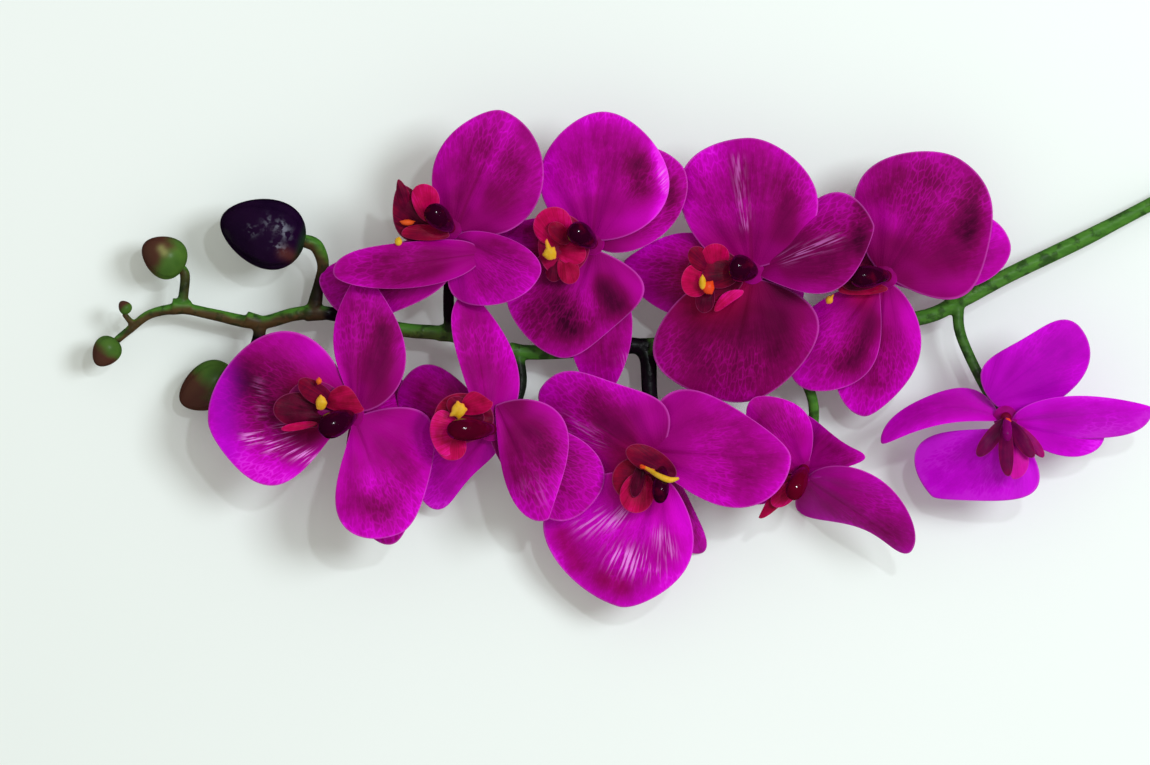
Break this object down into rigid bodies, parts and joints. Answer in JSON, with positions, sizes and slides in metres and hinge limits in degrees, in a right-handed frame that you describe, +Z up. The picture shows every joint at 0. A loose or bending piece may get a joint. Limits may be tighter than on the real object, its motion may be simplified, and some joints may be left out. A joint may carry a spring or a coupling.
{
  "type": "moth orchid flower spray",
  "caption": "Cut spray of a moth orchid laid down flat: open magenta blooms in two rows and closed buds on one green stem.",
  "frame": {"origin": "on the table under the middle of the spray's bounding box", "axes": "+X along the stem towards its cut end, +Y across the spray towards its upper row of blooms, +Z up off the table, the way the blooms face"},
  "size_m": [0.4451, 0.1841, 0.0499],
  "materials": {
    "petal": "satin magenta petal with fine veins",
    "lip": "satin crimson lip",
    "column": "glossy dark maroon column",
    "callus": "matte orange-yellow pad",
    "stem": "satin green stem, brown-red towards its tip",
    "bud_green": "satin green bud with a red-brown blush",
    "bud_purple": "glossy dark purple bud"
  },
  "bodies": {
    "root": {"stem": "stem", "bud_tip": "bud_green", "bud_tiny": "bud_green", "bud_small": "bud_green", "bud_low": "bud_green", "bud_large": "bud_purple", "petals_a": "petal", "lip_a": "lip", "column_a": "column", "callus_a": "callus", "petals_b": "petal", "lip_b": "lip", "column_b": "column", "callus_b": "callus", "petals_c": "petal", "lip_c": "lip", "column_c": "column", "callus_c": "callus", "petals_d": "petal", "lip_d": "lip", "column_d": "column", "callus_d": "callus", "petals_e": "petal", "lip_e": "lip", "column_e": "column", "callus_e": "callus", "petals_f": "petal", "lip_f": "lip", "column_f": "column", "callus_f": "callus", "petals_g": "petal", "lip_g": "lip", "column_g": "column", "callus_g": "callus", "petals_h": "petal", "lip_h": "lip", "column_h": "column", "callus_h": "callus", "petals_i": "petal", "lip_i": "lip", "column_i": "column", "callus_i": "callus"}
  },
  "joints": []
}
